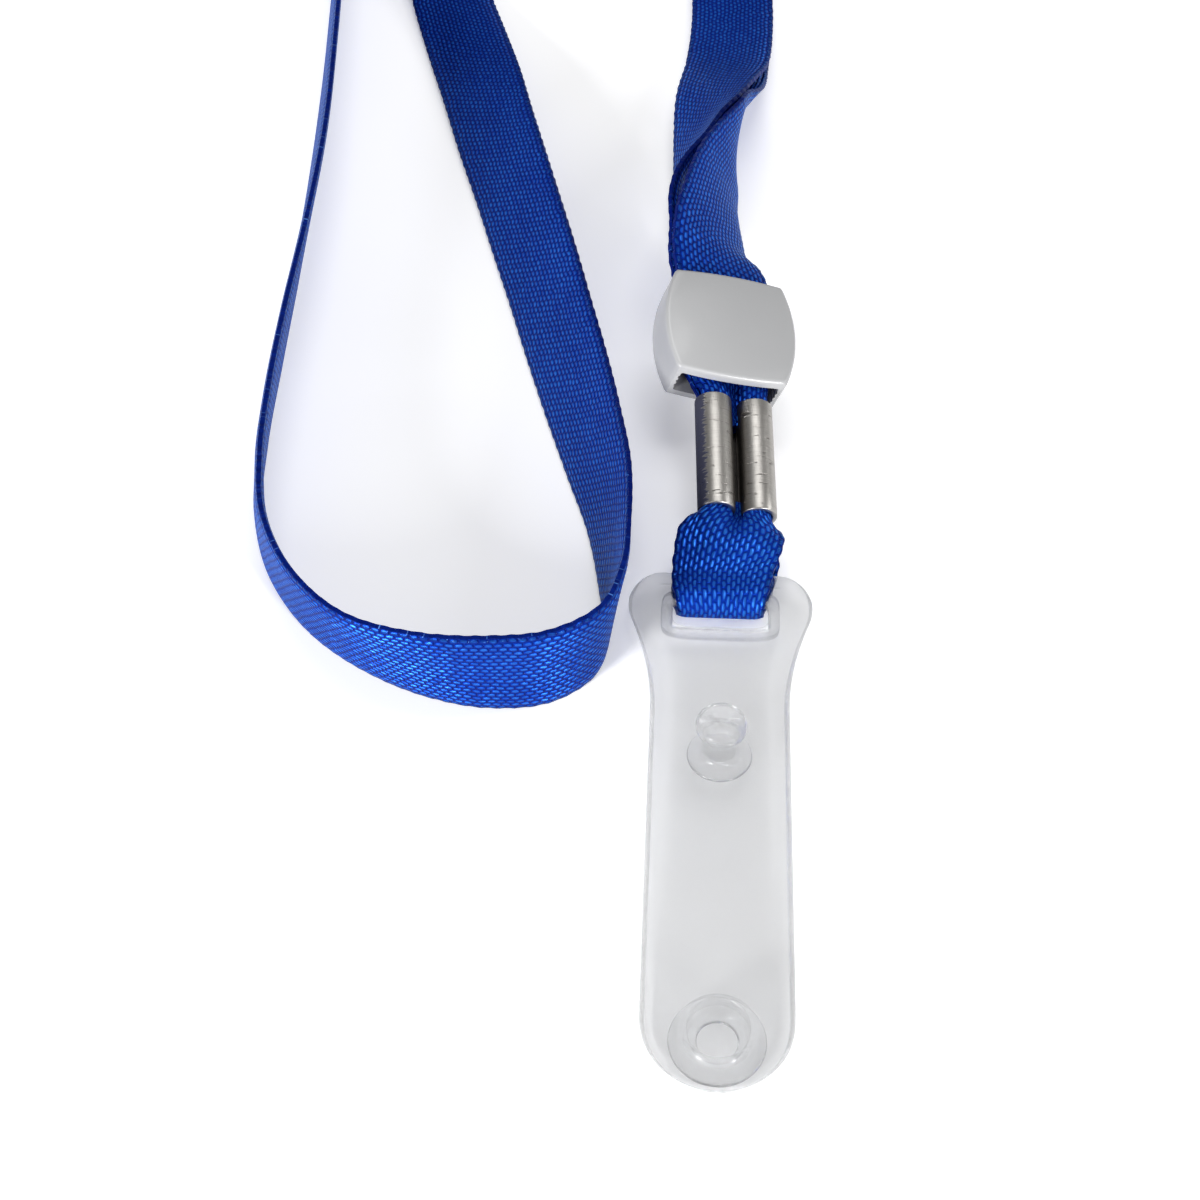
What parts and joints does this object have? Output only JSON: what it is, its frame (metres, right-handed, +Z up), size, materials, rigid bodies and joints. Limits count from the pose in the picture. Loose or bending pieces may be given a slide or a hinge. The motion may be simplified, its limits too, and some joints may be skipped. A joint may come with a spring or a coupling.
{
  "type": "lanyard badge holder",
  "caption": "Flat webbing neck lanyard with a sliding adjuster, a metal crimp and a clear strap clip that folds and snaps shut through a badge slot.",
  "frame": {"origin": "on the supporting surface, under the middle of the clip, crimp and slider together", "axes": "+Y along the clip from its snap end towards the neck strap, +Z up from the surface, +X to the right"},
  "size_m": [0.0611, 0.2602, 0.0142],
  "materials": {
    "webbing": "woven satin polyester",
    "nickel": "bright nickel plate with fine scratches",
    "grey_plastic": "glossy moulded",
    "clear_plastic": "clear flexible moulding"
  },
  "bodies": {
    "root": {"strap_neck_run": "webbing", "strap_upper_twist": "webbing", "strap_lower_twist": "webbing", "strap_slider_run": "webbing", "strap_crimped_run": "webbing", "strap_hanger_run": "webbing", "crimp": "nickel"},
    "slider": {"slider": "grey_plastic"},
    "clip": {"clip_head": "clear_plastic", "snap_stud": "clear_plastic"},
    "tail": {"clip_tail": "clear_plastic", "snap_socket": "clear_plastic"}
  },
  "joints": [
    {"name": "slider_slide", "type": "slide", "parent": "root", "child": "slider", "axis": [-0.0427, 0.9772, 0.2079], "range_m": [0, 0.012], "deforming": ["strap_upper_twist", "strap_lower_twist"]},
    {"name": "clip_swing", "type": "hinge", "parent": "root", "child": "clip", "pos_m": [0, 0.00831, 0.0016], "axis": [-1, 0, 0], "range_deg": [-120, 120], "deforming": ["strap_hanger_run"]},
    {"name": "tail_fold", "type": "hinge", "parent": "clip", "child": "tail", "pos_m": [0, -0.02535, 0.0044], "axis": [-1, 0, 0], "range_deg": [0, 180]}
  ]
}
